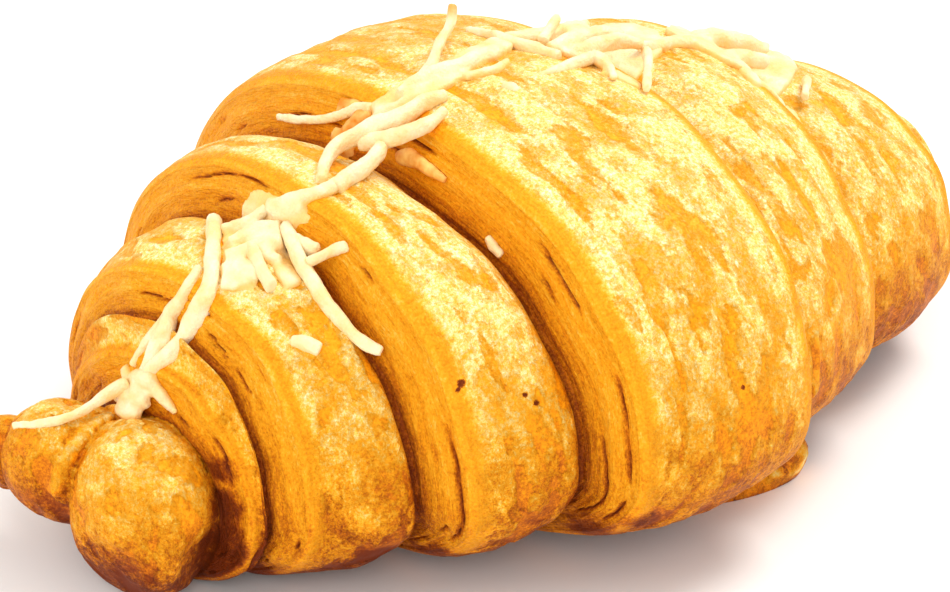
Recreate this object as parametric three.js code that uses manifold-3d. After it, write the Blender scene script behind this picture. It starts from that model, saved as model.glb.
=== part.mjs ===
// A croissant with grated cheese baked along its back: the dough is one solid, and each shred of cheese
// and each melted patch is a solid of its own. Millimetres, +Z up. X runs along the roll from the near
// horn to the far horn, and Z = 0 is the surface that it rests on.
import * as THREE from "three";
import { mergeVertices } from "three/addons/utils/BufferGeometryUtils.js";
import Module from "manifold-3d";

const wasm = await Module();
wasm.setup();
const { Manifold, Mesh } = wasm;

// Dough. Each wrap of the rolled sheet ends in a shoulder: x is where it stands, y its middle, half its
// half width, top its height, belly the height at which it is widest, step how far it stands off the
// wrap that it lies on, run how far the face of that step spreads along X, lean its slant along X.
const WRAPS = [
  { x: -49.0, y: 2.0, half: 17.3, top: 26.6, belly: 10.5, step: 5.5, run: 1.6, lean: -0.1 },
  { x: -43.5, y: 2.0, half: 23.0, top: 36.0, belly: 12.5, step: 4.5, run: 3.2, lean: -0.1 },
  { x: -29.0, y: 0.7, half: 33.8, top: 45.0, belly: 15.0, step: 6.5, run: 4.2, lean: -0.05 },
  { x: -12.5, y: 0.5, half: 44.6, top: 49.5, belly: 18.0, step: 7.5, run: 4.4, lean: 0 },
  { x: 12.0, y: 0.4, half: 46.0, top: 49.5, belly: 18.5, step: 6.5, run: 3.5, lean: 0.02 },
  { x: 36.5, y: 2.5, half: 34.8, top: 43.0, belly: 17.0, step: 5.0, run: 3.5, lean: 0.05 },
  { x: 58.0, y: 1.0, half: 22.5, top: 34.0, belly: 15.0, step: 4.5, run: 3.0, lean: 0 },
  { x: 64.5, y: 1.5, half: 15.5, top: 26.5, belly: 12.5, step: 3.2, run: 1.8, lean: 0.08 },
];
const FACING_NEAR = 4; // the first wraps face the near horn, the others the far horn
const FOOT_LENGTH = 0.9; // how far a seam's foot reaches beyond the face of its step
const CRACK = 1.5; // how much deeper than its foot a seam is undercut
const BASE_SINK = 1.2; // how far the belly is pressed flat where it rests
const PILLOW = 1.6; // how far a band swells between two shoulders
const BAND_STEP = 4.5; // rings along a band are at least this far apart
const END_HALF = 7; // half width of the roll's blunt ends, which lie inside the horns
const END_RISE = 8; // height of a blunt end over its widest place
const AROUND = 32; // facets round the roll
const DETAIL = 0.02; // facets of the dough smaller than this are merged

// The horns and the tucked corner of the sheet are rounded lumps of the same dough.
const LUMP_FACETS = [14, 10];
const LUMPS = [
  { at: [-53.5, -2.0, 10.6], radii: [8.6, 9.8, 10.9], turn: 0 },
  { at: [-56.5, 8.6, 13.2], radii: [7.2, 8.6, 7.6], turn: 20 },
  { at: [-60.0, 16.0, 12.0], radii: [4.2, 6.5, 4.2], turn: 20 },
  { at: [69.0, 3.5, 12.0], radii: [8.8, 10.5, 11.6], turn: 0 },
  { at: [73.5, 10.5, 12.5], radii: [6.5, 8.0, 7.6], turn: -20 },
  { at: [15.5, -28.0, 2.2], radii: [10.5, 4.2, 5.4], turn: -12 },
];

// Cheese. A shred is a thin round-edged rod along its route.
const GAP = 0.3; // clearance between pieces that touch
const CHEESE_DETAIL = 0.03; // facets of the cheese smaller than this are merged
const STEPS_PER_POINT = 2; // how finely a route or an outline is followed
const SHRED = { width: 2.2, thick: 1.7 };
const FINE = { width: 1.6, thick: 1.4 };
const SHREDS = {
  shred_near_side: [
    FINE, [-61.8, 12.2, 18.6], [-60.9, 8.8, 20], [-58.6, 6, 21.2], [-55.8, 5.3, 21.9], [-53, 5.1, 22.9],
    [-50.8, 4.2, 23.9],
  ],
  shred_near_long: [
    SHRED, [-36.2, 6.8, 39.2], [-39, 3.1, 39.3], [-41.2, 0.3, 38.2], [-43, -1.8, 36.8],
    [-44.9, -3, 35.3], [-46, -2.3, 32.9], [-46.6, -1.5, 30.9], [-47.9, -0.7, 29.1], [-49, 0.7, 27.4],
    [-49.8, 1.7, 26],
  ],
  shred_near_thin: [
    FINE, [-42.3, 1.2, 37.4], [-44.2, 0.5, 36.2], [-45.4, 0.6, 34.5], [-46.1, 1.7, 32.3],
    [-47.5, 1, 31.1], [-48.1, 1.5, 29.2], [-48.9, 2, 27.3], [-49.8, 2.4, 25.8],
  ],
  shred_front_stub: [
    SHRED, [-37.4, -2.1, 40], [-38.3, -4.5, 39.2], [-38.9, -6.7, 38.5], [-39.3, -8.6, 37.8],
  ],
  shred_front_hanging: [
    FINE, [-33.1, -3, 41.4], [-34.1, -5.8, 40.6], [-34.7, -7.8, 39.6], [-35.1, -10.7, 38.2],
    [-35.4, -13.5, 36.7], [-35.1, -16.3, 35.1], [-34.6, -19.2, 33.7], [-33.4, -21.4, 32.9],
  ],
  shred_front_cross: [
    FINE, [-34.7, -9.4, 39.8], [-33.5, -10.4, 40.6], [-32, -11.1, 41.3], [-31.3, -12.4, 42.1],
  ],
  shred_front_flake: [FINE, [-40.2, -13.6, 33.4], [-39.4, -15.2, 33.3], [-38.5, -16.6, 32.8]],
  shred_back_left: [
    SHRED, [-28.2, -3.4, 45.9], [-25.6, -1, 46.6], [-22.8, 0.4, 47.4], [-20.2, -0.4, 48.3],
    [-18.2, -1.4, 49.3], [-15.9, -2.9, 50.2], [-12.6, -2.7, 51], [-9.6, -3.4, 51.5],
  ],
  shred_back_right: [
    FINE, [-20.6, -0.6, 47.3], [-19, -3.2, 48.3], [-17.5, -5, 49.2], [-15.2, -6.2, 50.1],
    [-11.8, -5.9, 51],
  ],
  shred_back_flat: [
    SHRED, [-27.7, -5.6, 45.5], [-25.5, -4.8, 45.8], [-23.4, -4.9, 46.5], [-21, -4.5, 47.3],
    [-19.5, -3.7, 47.9],
  ],
  shred_back_fine: [
    FINE, [-17.2, 20.2, 42.4], [-17, 15.4, 43.7], [-16.6, 10.8, 45.4], [-15.8, 7.8, 47],
    [-14.9, 6.2, 47.9], [-14.8, 4.2, 48.2],
  ],
  shred_back_curl: [
    FINE, [-16.1, -2.5, 44.9], [-15.9, -4.4, 45.5], [-16, -6.7, 45.6], [-16, -9, 45.4],
    [-15.9, -11.1, 45.1],
  ],
  shred_groove: [FINE, [-16.1, -18.9, 40.9], [-16, -19.9, 40.1], [-15.8, -21.2, 39.3]],
  shred_crown_upright: [
    FINE, [-9, 1.8, 51.4], [-6.1, 3.9, 51.8], [-1.9, 7.4, 52.6], [1.2, 9.3, 53.8], [2.3, 10.4, 55.2],
  ],
  shred_crown_point: [
    FINE, [5.6, 11.7, 50.7], [5.8, 8, 51.2], [5.8, 4.6, 51.5], [6.8, 0.7, 51.5], [8.2, -2.9, 51.3],
  ],
  shred_crown_short: [FINE, [13.2, 3.4, 53], [10.4, 2.2, 52], [9.2, 1.6, 51.5]],
  shred_crown_tail: [FINE, [2.3, -6.1, 51.4], [6.6, -6.2, 51.5], [11, -5.6, 51.4]],
  shred_crown_hanging: [FINE, [21.5, -3.6, 48.5], [17.2, -8.8, 50.2], [12, -14.4, 50]],
  shred_crown_crumb: [FINE, [-3.2, -5.9, 51.4], [-2.6, -7, 51.5], [-2.6, -8, 51.3]],
  shred_far_short: [FINE, [46.6, -6.4, 38.7], [44.6, -8.4, 38.9], [42.6, -10.2, 38.7]],
};
// A melted patch lies on the crust, as thick as its first number, inside an outline of points in plan.
const MELTS = {
  melt_near_knot: [
    2.0, [-52.4, 8], [-50.6, 8.2], [-50, 3], [-50, -3], [-51, -4.4], [-52.2, -1.2], [-53.6, 0.6],
  ],
  melt_front_sheet: [
    1.5, [-41.8, 0], [-38, 3.5], [-35.2, 2.4], [-35, -3], [-33.2, -8],
    [-36, -9.5], [-40.5, -8.6], [-42.2, -4],
  ],
  melt_front_ridge: [1.8, [-34.2, 5], [-31.4, 2.6], [-28, -2.8], [-29.4, -5], [-32.2, -6], [-33.9, -1]],
  melt_back_ridge: [
    2.0, [-15.2, 4.6], [-10.5, 3.4], [-2, 4.4], [4.6, 6], [4.8, 2.4], [-2, 0.2], [-10, -1.4], [-15, 0.6],
  ],
  melt_back_browned: [1.4, [-17.4, 9.8], [-15.2, 10], [-14.6, 6.2], [-16.4, 4.6]],
  melt_crown_sheet: [
    1.6, [9.6, 3], [9.4, -3.4], [12.4, -6.6], [17.5, -4], [24, -1],
    [30.5, 3], [32, 11], [27.5, 14], [20, 10.5], [14, 7],
  ],
  melt_crown_drop: [1.5, [8.8, -8.4], [12.6, -8.2], [13.8, -10.4], [12.4, -13.6], [10.6, -10.6]],
  melt_far_sheet: [
    1.6, [33.8, 7], [33.4, 0], [35, -7], [41, -6.8], [46.8, -3.6], [50.5, 1], [49, 8], [42, 10],
  ],
  melt_far_patch: [1.3, [36, -8.8], [40.6, -8.8], [40, -12], [37, -13.4]],
};

function paint(name, color, roughness) {
  return new THREE.MeshStandardMaterial({ name, color, roughness, metalness: 0 });
}
const CRUST = paint("crust", 0xe79a32, 0.45);
const CHEESE = paint("cheese", 0xfbe6b4, 0.35);
const BROWNED = paint("browned", 0xd98a2b, 0.5);

// One ring of dough round the roll, so far along from its wrap's shoulder, inset from its skin, with its
// widest place dropped and its underside lifted.
function ring(wrap, index, along, inset, drop, lift) {
  return {
    x: wrap.x + along,
    y: wrap.y,
    half: wrap.half - inset,
    top: wrap.top - inset,
    belly: wrap.belly - drop,
    lift,
    lean: wrap.lean,
    wave: [index, index, 0],
  };
}

// Foot, undercut crack, face and rounded shoulder of one seam.
function seam(wrap, index) {
  const out = index < FACING_NEAR ? -1 : 1;
  const { run, step } = wrap;
  const undercut = [step + CRACK, 0.2 * step, 0.6 * step + 1];
  const rings = [
    ring(wrap, index, out * (run + FOOT_LENGTH), step - 0.2, 0.2 * step, 0.3 * step),
    ring(wrap, index, out * (run + 0.2), ...undercut),
    ring(wrap, index, out * (run - 0.1), ...undercut),
    ring(wrap, index, out * run * 0.72, step * 0.5, 0.1 * step, 0.3 * step),
    ring(wrap, index, out * run * 0.38, step * 0.1, 0, 0.2),
    ring(wrap, index, -out * 0.6, -0.25, 0, -BASE_SINK),
  ];
  return out < 0 ? rings : rings.reverse();
}

// The smooth band of dough between two seams.
function band(from, to) {
  const rings = [];
  const count = Math.floor((to.x - from.x) / BAND_STEP);
  for (let i = 1; i <= count; i++) {
    const t = i / (count + 1);
    const swell = PILLOW * Math.sin(Math.PI * t) ** 0.7;
    const mix = (key) => THREE.MathUtils.lerp(from[key], to[key], t);
    rings.push({
      x: mix("x"),
      y: mix("y"),
      half: mix("half") + swell,
      top: mix("top") + swell,
      belly: mix("belly"),
      lift: -BASE_SINK,
      lean: mix("lean"),
      wave: [from.wave[0], to.wave[0], t],
    });
  }
  return rings;
}

function shoulder(index) {
  return ring(WRAPS[index], index, 0, 0, 0, 0);
}

function foot(index) {
  const { run, step } = WRAPS[index];
  return ring(WRAPS[index], index, index < FACING_NEAR ? -run : run, step, 0, 0);
}

// A rounded end that closes the roll beyond its last shoulder.
function cap(index, along, sideways) {
  const end = ring(WRAPS[index], index, along, 0, 0, 3);
  end.y += sideways;
  end.half = END_HALF;
  end.top = end.belly + END_RISE;
  return [end, { ...end, half: 0, top: end.belly, lift: end.belly }];
}

function rollRings() {
  const rings = cap(0, -4.5, 0).reverse();
  WRAPS.forEach((wrap, index) => {
    if (index > 0) {
      const from = index > FACING_NEAR ? foot(index - 1) : shoulder(index - 1);
      const to = index < FACING_NEAR ? foot(index) : shoulder(index);
      rings.push(...band(from, to));
    }
    rings.push(...seam(wrap, index));
  });
  rings.push(...cap(WRAPS.length - 1, 5, 1));
  return rings;
}

// A seam isn't straight: it wanders along X on its way round the roll.
function wander(index, angle) {
  return 0.9 * Math.sin(angle + 1.7 * index) + 0.5 * Math.sin(2 * angle + 2.3 * index + 1);
}

// The place on a ring at an angle round the roll, softened by the rings before and after it.
function ringPoint([before, at, after], angle) {
  const blend = (read) => (read(before) + 4 * read(at) + read(after)) / 6;
  const value = (key) => blend((item) => item[key]);
  const waveOf = ({ wave: [a, b, t] }) => THREE.MathUtils.lerp(wander(a, angle), wander(b, angle), t);
  const c = Math.cos(angle);
  const s = Math.sin(angle);
  const belly = value("belly");
  const y = value("half") * Math.sign(c) * Math.abs(c) ** (s > 0 ? 0.92 : 1);
  const z = s > 0 ? (value("top") - belly) * s ** 0.92 : (value("lift") - belly) * (-s) ** 0.95;
  return [value("x") + blend(waveOf) + value("lean") * y, value("y") + y, belly + z];
}

function toManifold(points, faces) {
  return new Manifold(new Mesh({
    numProp: 3,
    vertProperties: new Float32Array(points),
    triVerts: new Uint32Array(faces),
  }));
}

function fromGeometry(geometry) {
  geometry.deleteAttribute("normal");
  geometry.deleteAttribute("uv");
  const merged = mergeVertices(geometry, 1e-4);
  return toManifold(merged.attributes.position.array, merged.index.array);
}

// The skin of the roll: facets between neighbouring rings, and a fan at each end.
function roll() {
  const rings = rollRings();
  const last = rings.length - 1;
  const points = [];
  const faces = [];
  for (let i = 1; i < last; i++) {
    for (let j = 0; j < AROUND; j++) {
      points.push(...ringPoint(rings.slice(i - 1, i + 2), (2 * Math.PI * j) / AROUND));
    }
  }
  const rows = last - 1;
  const near = rows * AROUND;
  const far = near + 1;
  points.push(rings[0].x, rings[0].y, rings[0].belly);
  points.push(rings[last].x, rings[last].y, rings[last].belly);
  for (let j = 0; j < AROUND; j++) {
    const next = (j + 1) % AROUND;
    faces.push(near, next, j);
    faces.push(far, (rows - 1) * AROUND + j, (rows - 1) * AROUND + next);
    for (let i = 0; i < rows - 1; i++) {
      const a = i * AROUND + j;
      const b = i * AROUND + next;
      faces.push(a, b, b + AROUND, a, b + AROUND, a + AROUND);
    }
  }
  return toManifold(points, faces);
}

function lump({ at, radii, turn }) {
  const ball = new THREE.SphereGeometry(1, ...LUMP_FACETS).scale(...radii);
  return fromGeometry(ball.rotateZ(THREE.MathUtils.degToRad(turn)).translate(...at));
}

function largest(solid) {
  return solid.decompose().sort((a, b) => b.volume() - a.volume())[0];
}

// A solid with copies of itself moved by each of the steps, as one.
function spread(solid, steps) {
  return Manifold.union([solid, ...steps.map((step) => solid.translate(step))]);
}

const rolledUp = Manifold.union([roll(), ...LUMPS.map(lump)]);
const dough = largest(rolledUp.trimByPlane([0, 0, 1], 0).simplify(DETAIL));
const clearOfDough = spread(dough, [[0, 0, GAP], [-GAP, 0, 0], [GAP, 0, 0], [0, -GAP, 0], [0, GAP, 0]]);

// A rod with rounded edges along its route, thicker all round by grow.
function shredSolid([{ width, thick }, ...route], grow) {
  const section = new THREE.Shape();
  section.absellipse(0, 0, thick / 2 + grow, width / 2 + grow, 0, 2 * Math.PI);
  const extrudePath = new THREE.CatmullRomCurve3(route.map((point) => new THREE.Vector3(...point)));
  const steps = STEPS_PER_POINT * (route.length - 1);
  return fromGeometry(new THREE.ExtrudeGeometry(section, { curveSegments: 4, steps, extrudePath }));
}

// A sheet over the crust inside an outline, thick enough on the steps that face the near horn too.
function meltSolid([thick, ...outline]) {
  const edge = new THREE.CatmullRomCurve3(outline.map(([x, y]) => new THREE.Vector3(x, y, 0)), true);
  const corners = edge.getPoints(STEPS_PER_POINT * outline.length).slice(0, -1);
  const shape = new THREE.Shape(corners.map(({ x, y }) => new THREE.Vector2(x, y)));
  const depth = 60; // taller than the dough
  const prism = fromGeometry(new THREE.ExtrudeGeometry(shape, { depth, bevelEnabled: false }));
  return prism.intersect(spread(dough.translate([0, 0, thick + GAP]), [[-thick, 0, -thick / 2]]));
}

function meshOf(name, solid, material) {
  const { vertProperties, triVerts } = solid.getMesh();
  const geometry = new THREE.BufferGeometry();
  geometry.setAttribute("position", new THREE.BufferAttribute(new Float32Array(vertProperties), 3));
  geometry.setIndex(new THREE.BufferAttribute(new Uint32Array(triVerts), 1));
  const flat = geometry.toNonIndexed();
  flat.computeVertexNormals();
  const mesh = new THREE.Mesh(flat, material);
  mesh.name = name;
  return mesh;
}

// Each piece of cheese is cut clear of the dough and of the shreds laid before it.
const cheese = [];
const shredsLaid = [];
function lay(name, solid) {
  const clear = Manifold.difference([solid, clearOfDough, ...shredsLaid]);
  cheese.push({ name, solid: largest(clear.simplify(CHEESE_DETAIL)) });
}
for (const [name, shred] of Object.entries(SHREDS)) {
  lay(name, shredSolid(shred, 0));
  shredsLaid.push(shredSolid(shred, GAP));
}
for (const [name, melt] of Object.entries(MELTS)) {
  lay(name, meltSolid(melt));
}

const croissant = new THREE.Group();
croissant.add(meshOf("croissant", dough, CRUST));
for (const { name, solid } of cheese) {
  const isBrowned = name.endsWith("browned") || name.endsWith("curl");
  croissant.add(meshOf(name, solid, isBrowned ? BROWNED : CHEESE));
}

// The middle of the whole object's footprint is the origin.
const size = new THREE.Box3().setFromObject(croissant);
const middle = size.getCenter(new THREE.Vector3());
croissant.position.set(-middle.x, -middle.y, 0);
croissant.updateMatrixWorld(true);

export default croissant;
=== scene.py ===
import math

import bpy
import numpy as np
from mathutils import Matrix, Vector, noise
from mathutils.bvhtree import BVHTree


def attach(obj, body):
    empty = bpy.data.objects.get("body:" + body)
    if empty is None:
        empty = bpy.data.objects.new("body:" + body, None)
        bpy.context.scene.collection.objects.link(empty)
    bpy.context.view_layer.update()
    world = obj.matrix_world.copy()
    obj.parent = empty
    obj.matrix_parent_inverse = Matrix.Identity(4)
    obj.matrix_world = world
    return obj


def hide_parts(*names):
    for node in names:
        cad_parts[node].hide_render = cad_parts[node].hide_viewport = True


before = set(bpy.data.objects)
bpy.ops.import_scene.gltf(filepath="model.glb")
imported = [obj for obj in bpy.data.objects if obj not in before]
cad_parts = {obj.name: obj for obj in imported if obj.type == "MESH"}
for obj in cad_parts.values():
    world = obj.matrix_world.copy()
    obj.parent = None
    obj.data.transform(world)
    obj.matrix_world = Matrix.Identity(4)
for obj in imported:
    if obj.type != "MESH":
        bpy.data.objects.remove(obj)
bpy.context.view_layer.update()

# ---------------------------------------------------------------------------------------------------
# The view: the croissant lies on a plain pale table, seen from in front of its near horn and a little
# above. A long lens keeps its wraps in proportion.
# ---------------------------------------------------------------------------------------------------
bpy.ops.object.select_all(action="DESELECT")
EYE = Vector((-0.25382, -0.30103, 0.22209))
LOOK_AT = Vector((0.01453, 0.03036, 0.0))
LENS = 134.27
SENSOR_WIDTH = 36.0
NEAREST_SEEN = 0.01
FURTHEST_SEEN = 10.0
bpy.ops.object.camera_add(location=EYE, rotation=(LOOK_AT - EYE).to_track_quat("-Z", "Y").to_euler())
camera = bpy.context.object
camera.name = "camera"
camera.data.lens = LENS
camera.data.sensor_width = SENSOR_WIDTH
camera.data.clip_start = NEAREST_SEEN
camera.data.clip_end = FURTHEST_SEEN
bpy.context.scene.camera = camera


def area_light(name, place, size, power, tint):
    """A square soft box of the given size and power that faces the croissant."""
    turn = (LIT_PLACE - Vector(place)).to_track_quat("-Z", "Y").to_euler()
    bpy.ops.object.light_add(type="AREA", location=place, rotation=turn)
    light = bpy.context.object
    light.name = name
    light.data.size = size
    light.data.energy = power
    light.data.color = tint


# A soft box over the back, dim ones beside the eye and beyond the near horn, and a white room.
LIT_PLACE = Vector((0, 0, 0.02))
area_light("key_light", (0.30, -0.08, 0.60), 0.30, 2.95, (1.0, 0.985, 0.96))
area_light("fill_light", (-0.45, -0.55, 0.40), 0.5, 1.4, (1.0, 0.98, 0.95))
area_light("side_light", (-0.55, 0.22, 0.32), 0.4, 1.3, (1.0, 0.98, 0.95))
ROOM_WHITE = (1.0, 0.99, 0.975, 1)
ROOM_BRIGHTNESS = 0.85
world = bpy.data.worlds.new("white_room")
bpy.context.scene.world = world
world.use_nodes = True
world.node_tree.nodes["Background"].inputs["Color"].default_value = ROOM_WHITE
world.node_tree.nodes["Background"].inputs["Strength"].default_value = ROOM_BRIGHTNESS
bpy.context.scene.view_settings.view_transform = "Standard"

TABLE_SIZE = 6.0
TABLE_WHITE = (0.92, 0.91, 0.895, 1)
TABLE_ROUGHNESS = 0.7
bpy.ops.mesh.primitive_plane_add(size=TABLE_SIZE)
table = bpy.context.object
table.name = "table"
table_paint = bpy.data.materials.new("white_table")
table_paint.use_nodes = True
table_paint.node_tree.nodes["Principled BSDF"].inputs["Base Color"].default_value = TABLE_WHITE
table_paint.node_tree.nodes["Principled BSDF"].inputs["Roughness"].default_value = TABLE_ROUGHNESS
table.data.materials.append(table_paint)

# ---------------------------------------------------------------------------------------------------
# Croissant: one sheet of laminated dough, rolled up from its broad end, so that each turn ends in a
# stepped seam. It is baked in one piece: the faces of the steps show the edges of its layers, the bands
# between them are blistered and glazed with egg, and its belly is flat where it lay on the tray.
# ---------------------------------------------------------------------------------------------------
MM = 0.001
ROLL_ORIGIN = Vector((-7.83, -0.43, 0.0)) * MM
# Where each wrap's shoulder stands along the roll, its middle, half width and top, the height of its
# widest place, how far its seam steps up and spreads, and its slant. Sizes are in millimetres.
WRAPS = [
    dict(x=-49.0, y=2.0, half=17.3, top=26.6, belly=10.5, step=5.5, run=1.6, lean=-0.1),
    dict(x=-43.5, y=2.0, half=23.0, top=36.0, belly=12.5, step=4.5, run=3.2, lean=-0.1),
    dict(x=-29.0, y=0.7, half=33.8, top=45.0, belly=15.0, step=6.5, run=4.2, lean=-0.05),
    dict(x=-12.5, y=0.5, half=44.6, top=49.5, belly=18.0, step=7.5, run=4.4, lean=0.0),
    dict(x=12.0, y=0.4, half=46.0, top=49.5, belly=18.5, step=6.5, run=3.5, lean=0.02),
    dict(x=36.5, y=2.5, half=34.8, top=43.0, belly=17.0, step=5.0, run=3.5, lean=0.05),
    dict(x=58.0, y=1.0, half=22.5, top=34.0, belly=15.0, step=4.5, run=3.0, lean=0.0),
    dict(x=64.5, y=1.5, half=15.5, top=26.5, belly=12.5, step=3.2, run=1.8, lean=0.08),
]
# The steps of the first four wraps face the near horn, and those of the others the far horn.
FACING_NEAR = 4
# How deep a seam is cut past its step, how far the belly sinks through the table before it is trimmed,
# how far a band swells between its seams, and how far apart its rings are.
CRACK = 1.5
BASE_SINK = 1.2
PILLOW = 1.6
BAND_STEP = 4.5
# Points round the roll, and how far apart its rows are in the near seams, the far ones and the bands.
AROUND = 218
NEAR_GRAIN = 0.36
FAR_GRAIN = 0.6
BAND_GRAIN = 1.0
# The blunt end inside each horn: its half width, its height over its middle, and its lift.
END_HALF = 7.0
END_RISE = 8.0
END_LIFT = 3.0
# A ring's row of numbers holds its shape, its finish, and how much it follows each seam.
FINISH = ("crack", "face", "rim", "level", "nth")
FINISH_FROM = 7
NTH = FINISH_FROM + 4
FOLLOWS_FROM = FINISH_FROM + 5


def ring(index, along=0.0, inset=0.0, drop=0.0, lift=0.0, crack=0.0, face=0.0, rim=0.0, level=0.0):
    """One ring of the roll as a row of numbers: its shape, its finish and the seams that it follows."""
    wrap = WRAPS[index]
    shape = [wrap["x"] + along, wrap["y"], wrap["half"] - inset, wrap["top"] - inset, wrap["belly"] - drop]
    follows = [float(k == index) for k in range(len(WRAPS))]
    return np.array(shape + [lift, wrap["lean"], crack, face, rim, level, index] + follows)


def seam(index):
    """The rings of a wrap's seam, from the crack at its foot over the step's face to the rim on top."""
    run, step = WRAPS[index]["run"], WRAPS[index]["step"]
    out = -1 if index < FACING_NEAR else 1
    deep = dict(inset=step + CRACK, drop=0.2 * step, lift=0.6 * step + 1, crack=1)
    rings = [
        ring(index, out * (run + 0.9), step - 0.2, 0.2 * step, 0.3 * step, crack=0.3, level=-0.1),
        ring(index, out * (run + 0.3), **deep, level=0),
        ring(index, out * (run + 0.1), **deep, face=0.4, level=0),
        ring(index, out * (run - 0.1), **deep, face=0.9, level=0.05),
        ring(index, out * run * 0.72, step * 0.5, 0.1 * step, 0.3 * step, face=1, level=0.5),
        ring(index, out * run * 0.40, step * 0.1, 0, 0.2, face=1, rim=0.2, level=0.9),
        ring(index, out * run * 0.36, step * 0.06, 0, 0.2, face=0.3, rim=1, level=0.95),
        ring(index, -out * 0.6, -0.25, 0, -BASE_SINK, rim=0.45, level=1.1),
    ]
    return rings if out < 0 else rings[::-1]


def band(start, end):
    """The rings of the glazed band between two seams, which swells a little like a pillow."""
    count = int((end[0] - start[0]) // BAND_STEP)
    rings = []
    for i in range(1, count + 1):
        t = i / (count + 1)
        middle = start * (1 - t) + end * t
        middle[2:4] += PILLOW * math.sin(math.pi * t) ** 0.7
        middle[5] = -BASE_SINK
        rings.append(middle)
    return rings


def foot(index):
    """The ring that a seam rises from."""
    out = -1 if index < FACING_NEAR else 1
    return ring(index, out * WRAPS[index]["run"], WRAPS[index]["step"])


def cap(index, along, sideways):
    """The two rings that close the roll inside a horn's knobs."""
    end = ring(index, along)
    end[1] += sideways
    end[2] = END_HALF
    end[3] = end[4] + END_RISE
    end[5] = END_LIFT
    point = end.copy()
    point[2] = 0.0
    point[3] = point[5] = point[4]
    return [end, point]


rings = cap(0, -4.5, 0.0)[::-1]
for index in range(len(WRAPS)):
    if index > 0:
        start = foot(index - 1) if index > FACING_NEAR else ring(index - 1)
        end = foot(index) if index < FACING_NEAR else ring(index)
        rings += band(start, end)
    rings += seam(index)
rings += cap(len(WRAPS) - 1, 5.0, 1.0)
rings = np.array(rings)

# Rows on a smooth curve through the rings, close together in the seams and further apart on the bands.
SHORTEST_STRETCH = 0.3
rows, arc = [], [0.0]
for i in range(1, len(rings) - 2):
    a, b, c, d = rings[i - 1:i + 3]
    length = max(math.hypot(c[0] - b[0], c[3] - b[3]), SHORTEST_STRETCH)
    in_seam = b[FINISH_FROM:NTH - 1].sum() + c[FINISH_FROM:NTH - 1].sum() > 0
    spacing = BAND_GRAIN if not in_seam else NEAR_GRAIN if b[NTH] < FACING_NEAR - 0.5 else FAR_GRAIN
    count = max(1, math.ceil(length / spacing))
    for t in np.arange(count) / count:
        weights = ((1 - t) ** 3, 3 * t**3 - 6 * t**2 + 4, -3 * t**3 + 3 * t**2 + 3 * t + 1, t**3)
        rows.append((weights[0] * a + weights[1] * b + weights[2] * c + weights[3] * d) / 6)
        arc.append(arc[-1] + length / count)
rows = np.array([rings[0]] + rows + [rings[-1]])
arc = np.array(arc + [arc[-1]])[:len(rows)]

bpy.ops.object.select_all(action="DESELECT")
bpy.ops.mesh.primitive_grid_add(x_subdivisions=AROUND, y_subdivisions=len(rows) - 1, size=2.0)
croissant = bpy.context.object
croissant.name = "croissant_crust"
mesh = croissant.data
flat = np.empty(len(mesh.vertices) * 3)
mesh.vertices.foreach_get("co", flat)
flat = flat.reshape(-1, 3)
row = np.rint((flat[:, 1] + 1) / 2 * (len(rows) - 1)).astype(int)
turn = (flat[:, 0] + 1) / 2
angle = 2 * math.pi * turn
values = rows[row]
x, y, half, top, belly, lift, lean = values[:, :FINISH_FROM].T
# No seam is quite true: each bends, flutters and ripples its own way round the roll.
wander = np.zeros(len(values))
for k in range(len(WRAPS)):
    bend = 0.9 * np.sin(angle + 1.7 * k) + 0.5 * np.sin(2 * angle + 2.3 * k + 1)
    flutter = 0.28 * np.sin(5 * angle + 1.3 * k) * np.sin(3 * angle + 2.1 * k)
    ripple = 0.16 * np.sin(11 * angle + 2.9 * k)
    wander += values[:, FOLLOWS_FROM + k] * (bend + flutter + ripple)
ends = (row == 0) | (row == len(rows) - 1)
wander[ends] = 0
# A section of the roll is a little fuller than an ellipse, above its widest place and below it.
FULLNESS = 0.92
BELLY_FULLNESS = 0.95
sideways, upright = np.cos(angle), np.sin(angle)
up = upright > 0
across = half * np.sign(sideways) * np.abs(sideways) ** np.where(up, FULLNESS, 1.0)
steep = np.abs(upright)
rise = np.where(up, (top - belly) * steep ** FULLNESS, (lift - belly) * steep ** BELLY_FULLNESS)
points = np.stack([x + wander + lean * across, y + across, belly + rise], 1)
mesh.vertices.foreach_set("co", (points * MM + np.array(ROLL_ORIGIN)).ravel())


def keep(target, name, numbers, kind="FLOAT"):
    """Stores numbers on the vertices under a name, for the paint and for later steps."""
    layer = target.data.attributes.get(name) or target.data.attributes.new(name, kind, "POINT")
    layer.data.foreach_set("value" if kind == "FLOAT" else "vector", np.asarray(numbers, np.float32).ravel())


def kept(target, name, width=1):
    """Reads back what keep stored: single numbers, or rows of the given width."""
    found = np.empty(len(target.data.vertices) * width, np.float32)
    target.data.attributes[name].data.foreach_get("value" if width == 1 else "vector", found)
    return found if width == 1 else found.reshape(-1, width)


for k, key in enumerate(FINISH):
    keep(croissant, key, values[:, FINISH_FROM + k])
# The grain runs round the roll, so its patterns are drawn out that way.
GRAIN_RADIUS = 6.0
grain = np.stack([GRAIN_RADIUS * sideways, GRAIN_RADIUS * upright, arc[row]], 1) * MM
keep(croissant, "grain", grain, "FLOAT_VECTOR")

SAME_PLACE = 1e-6
bpy.ops.object.mode_set(mode="EDIT")
bpy.ops.mesh.select_all(action="SELECT")
bpy.ops.mesh.remove_doubles(threshold=SAME_PLACE)
bpy.ops.mesh.normals_make_consistent(inside=False)
bpy.ops.object.mode_set(mode="OBJECT")


def positions(target):
    found = np.empty(len(target.data.vertices) * 3)
    target.data.vertices.foreach_get("co", found)
    return found.reshape(-1, 3)


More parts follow.
